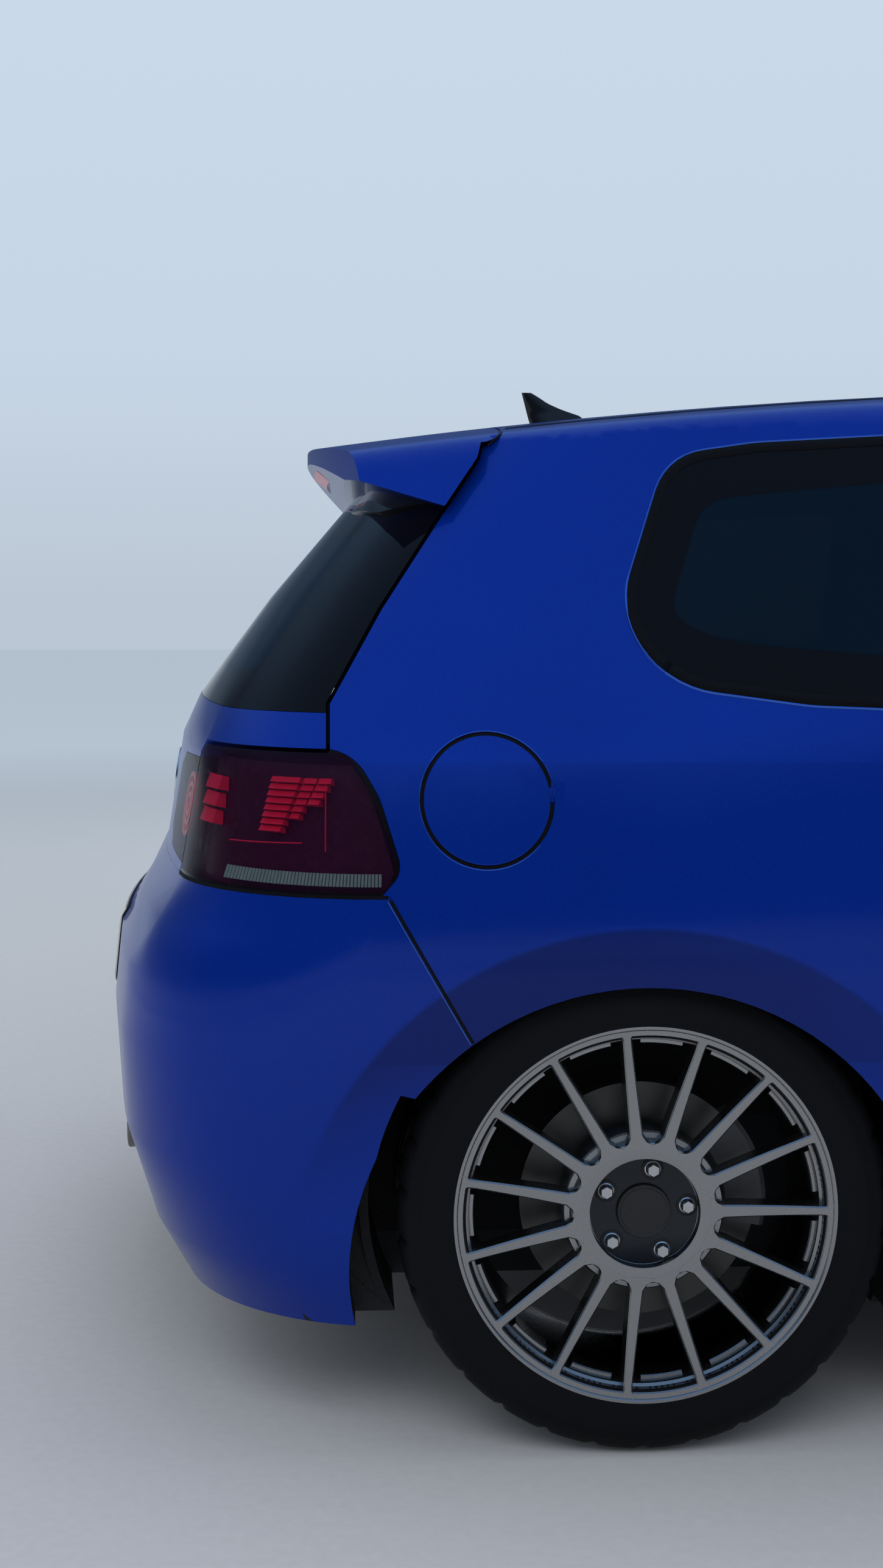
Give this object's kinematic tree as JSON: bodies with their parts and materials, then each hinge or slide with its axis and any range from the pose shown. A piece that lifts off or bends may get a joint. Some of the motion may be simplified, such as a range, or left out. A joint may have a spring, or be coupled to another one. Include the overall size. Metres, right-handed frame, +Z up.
{
  "type": "three-door hatchback car",
  "caption": "lowered three-door hatchback car with opening doors, tailgate, bonnet and fuel flap, steered front wheels and multi-spoke rims",
  "frame": {"origin": "on the ground, below the middle of the car's bounding box", "axes": "+X forward, +Y to the car's left, +Z up"},
  "size_m": [4.2098, 2.052, 1.4379],
  "materials": {
    "body_paint": "deep metallic blue, glossy clear coat",
    "tinted_glass": "dark tinted glass",
    "clear_glass": "clear laminated glass",
    "lamp_red": "smoked dark red lens",
    "lamp_clear": "clear lamp with dark housing",
    "black_gloss": "gloss black",
    "black_plastic": "grained black",
    "underbody_paint": "dark sealed sheet metal",
    "seat_fabric": "woven dark grey",
    "engine_metal": "plain block",
    "exhaust_steel": "dull stainless steel",
    "axle_iron": "black coated",
    "rim_satin": "satin gunmetal",
    "tyre_rubber": "black rubber",
    "brake_iron": "machined face"
  },
  "bodies": {
    "car_body": {"roof_panel": "body_paint", "wing_left": "body_paint", "wing_right": "body_paint", "body_side_left": "body_paint", "body_side_right": "body_paint", "front_bumper": "body_paint", "rear_bumper": "body_paint", "quarter_windows": "tinted_glass", "windscreen": "clear_glass", "tail_lamps": "lamp_red", "head_lamps": "lamp_clear", "antenna": "black_gloss", "rear_diffuser": "black_plastic", "front_grille": "black_plastic", "dashboard": "black_plastic", "floor_pan": "underbody_paint", "bulkhead": "underbody_paint", "front_seats": "seat_fabric", "rear_seat": "seat_fabric", "engine_block": "engine_metal", "exhaust": "exhaust_steel", "rear_axle": "axle_iron", "front_axle": "axle_iron"},
    "door_assembly_left": {"door_left": "body_paint", "door_glass_left": "tinted_glass", "mirror_left": "black_gloss"},
    "door_assembly_right": {"door_right": "body_paint", "door_glass_right": "tinted_glass", "mirror_right": "black_gloss"},
    "tailgate_assembly": {"tailgate": "body_paint", "tailgate_glass": "tinted_glass", "roof_spoiler": "body_paint", "tailgate_lamps": "lamp_red"},
    "bonnet_lid": {"bonnet": "body_paint"},
    "fuel_lid": {"fuel_flap": "body_paint"},
    "steer_knuckle_left": {"knuckle_left": "axle_iron"},
    "steer_knuckle_right": {"knuckle_right": "axle_iron"},
    "wheel_front_left": {"rim_front_left": "rim_satin", "tyre_front_left": "tyre_rubber", "disc_front_left": "brake_iron"},
    "wheel_front_right": {"rim_front_right": "rim_satin", "tyre_front_right": "tyre_rubber", "disc_front_right": "brake_iron"},
    "wheel_rear_left": {"rim_rear_left": "rim_satin", "tyre_rear_left": "tyre_rubber", "disc_rear_left": "brake_iron"},
    "wheel_rear_right": {"rim_rear_right": "rim_satin", "tyre_rear_right": "tyre_rubber", "disc_rear_right": "brake_iron"}
  },
  "joints": [
    {"name": "door_hinge_left", "type": "hinge", "parent": "car_body", "child": "door_assembly_left", "pos_m": [0.6, 0.84, 0.6], "axis": [0, 0, -1], "range_deg": [0, 67]},
    {"name": "door_hinge_right", "type": "hinge", "parent": "car_body", "child": "door_assembly_right", "pos_m": [0.6, -0.84, 0.6], "axis": [0, 0, 1], "range_deg": [0, 67]},
    {"name": "tailgate_hinge", "type": "hinge", "parent": "car_body", "child": "tailgate_assembly", "pos_m": [-1.556, 0, 1.34], "axis": [0, 1, 0], "range_deg": [0, 80]},
    {"name": "bonnet_hinge", "type": "hinge", "parent": "car_body", "child": "bonnet_lid", "pos_m": [0.724, 0, 0.88], "axis": [0, -1, 0], "range_deg": [0, 50]},
    {"name": "fuel_flap_hinge", "type": "hinge", "parent": "car_body", "child": "fuel_lid", "pos_m": [-1.484, -0.83805, 0.847], "axis": [0, 0, 1], "range_deg": [0, 80]},
    {"name": "steer_left", "type": "hinge", "parent": "car_body", "child": "steer_knuckle_left", "pos_m": [1.214, 0.725, 0.318], "axis": [0, 0, 1], "range_deg": [-32, 32]},
    {"name": "steer_right", "type": "hinge", "parent": "car_body", "child": "steer_knuckle_right", "pos_m": [1.214, -0.725, 0.318], "axis": [0, 0, 1], "range_deg": [-32, 32]},
    {"name": "spin_front_left", "type": "hinge", "parent": "steer_knuckle_left", "child": "wheel_front_left", "pos_m": [1.214, 0.757, 0.318], "axis": [0, 1, 0], "continuous": true},
    {"name": "spin_rear_left", "type": "hinge", "parent": "car_body", "child": "wheel_rear_left", "pos_m": [-1.364, 0.757, 0.318], "axis": [0, 1, 0], "continuous": true},
    {"name": "spin_front_right", "type": "hinge", "parent": "steer_knuckle_right", "child": "wheel_front_right", "pos_m": [1.214, -0.757, 0.318], "axis": [0, 1, 0], "continuous": true},
    {"name": "spin_rear_right", "type": "hinge", "parent": "car_body", "child": "wheel_rear_right", "pos_m": [-1.364, -0.757, 0.318], "axis": [0, 1, 0], "continuous": true}
  ],
  "couplings": [
    {"joint": "steer_left", "follows": "steer_right", "ratio": 1}
  ]
}
